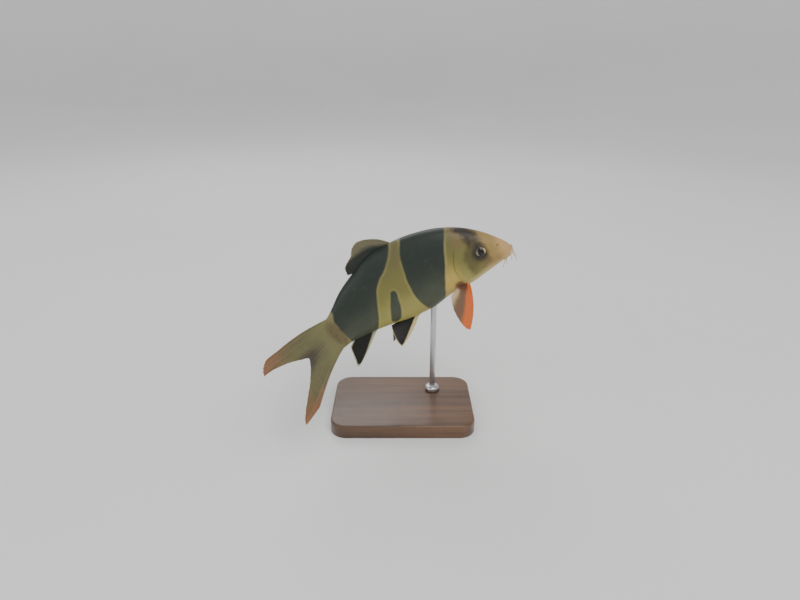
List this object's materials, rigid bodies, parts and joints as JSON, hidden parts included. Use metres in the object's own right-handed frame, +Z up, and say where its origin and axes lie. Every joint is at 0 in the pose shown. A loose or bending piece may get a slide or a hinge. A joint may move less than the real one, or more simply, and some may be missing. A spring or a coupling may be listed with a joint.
{
  "type": "clown loach display model",
  "caption": "Life-size clown loach swimming upwards in a turn, with forked tail, spread fins and barbels, carried on a rod above a flat base.",
  "frame": {"origin": "centre of the stand base's underside", "axes": "+Z up, +X towards the fish's snout, -Y the side the fish shows to the picture's camera, which is its right side"},
  "size_m": [0.1656, 0.1189, 0.1415],
  "materials": {
    "skin_head": "satin, tan with a faded grey-brown band through the eye",
    "skin_trunk": "satin, yellow-olive with broad dark bands",
    "skin_tail": "satin, dark band and brown tail root",
    "eye": "glossy, silver iris and black pupil",
    "barbel": "satin, pale pink",
    "fin_dark": "satin, near black with pale edges",
    "fin_pale": "satin, pale yellow-tan with orange edges",
    "fin_orange": "satin, orange-red rays",
    "wood": "dark satin varnish",
    "steel": "brushed"
  },
  "bodies": {
    "root": {"head": "skin_head", "trunk": "skin_trunk", "tail": "skin_tail", "eye_right": "eye", "eye_left": "eye", "barbel_rostral_inner_right": "barbel", "barbel_rostral_inner_left": "barbel", "barbel_rostral_outer_right": "barbel", "barbel_rostral_outer_left": "barbel", "barbel_maxillary_right": "barbel", "barbel_maxillary_left": "barbel", "barbel_mandibular_right": "barbel", "barbel_mandibular_left": "barbel", "dorsal_fin": "fin_dark", "anal_fin": "fin_dark", "tail_fin_upper": "fin_pale", "tail_fin_lower": "fin_pale", "pelvic_fin_right": "fin_dark", "pelvic_fin_left": "fin_dark", "pectoral_fin_right": "fin_orange", "pectoral_fin_left": "fin_orange", "stand_base": "wood", "stand_collar": "steel", "stand_rod": "steel"}
  },
  "joints": []
}
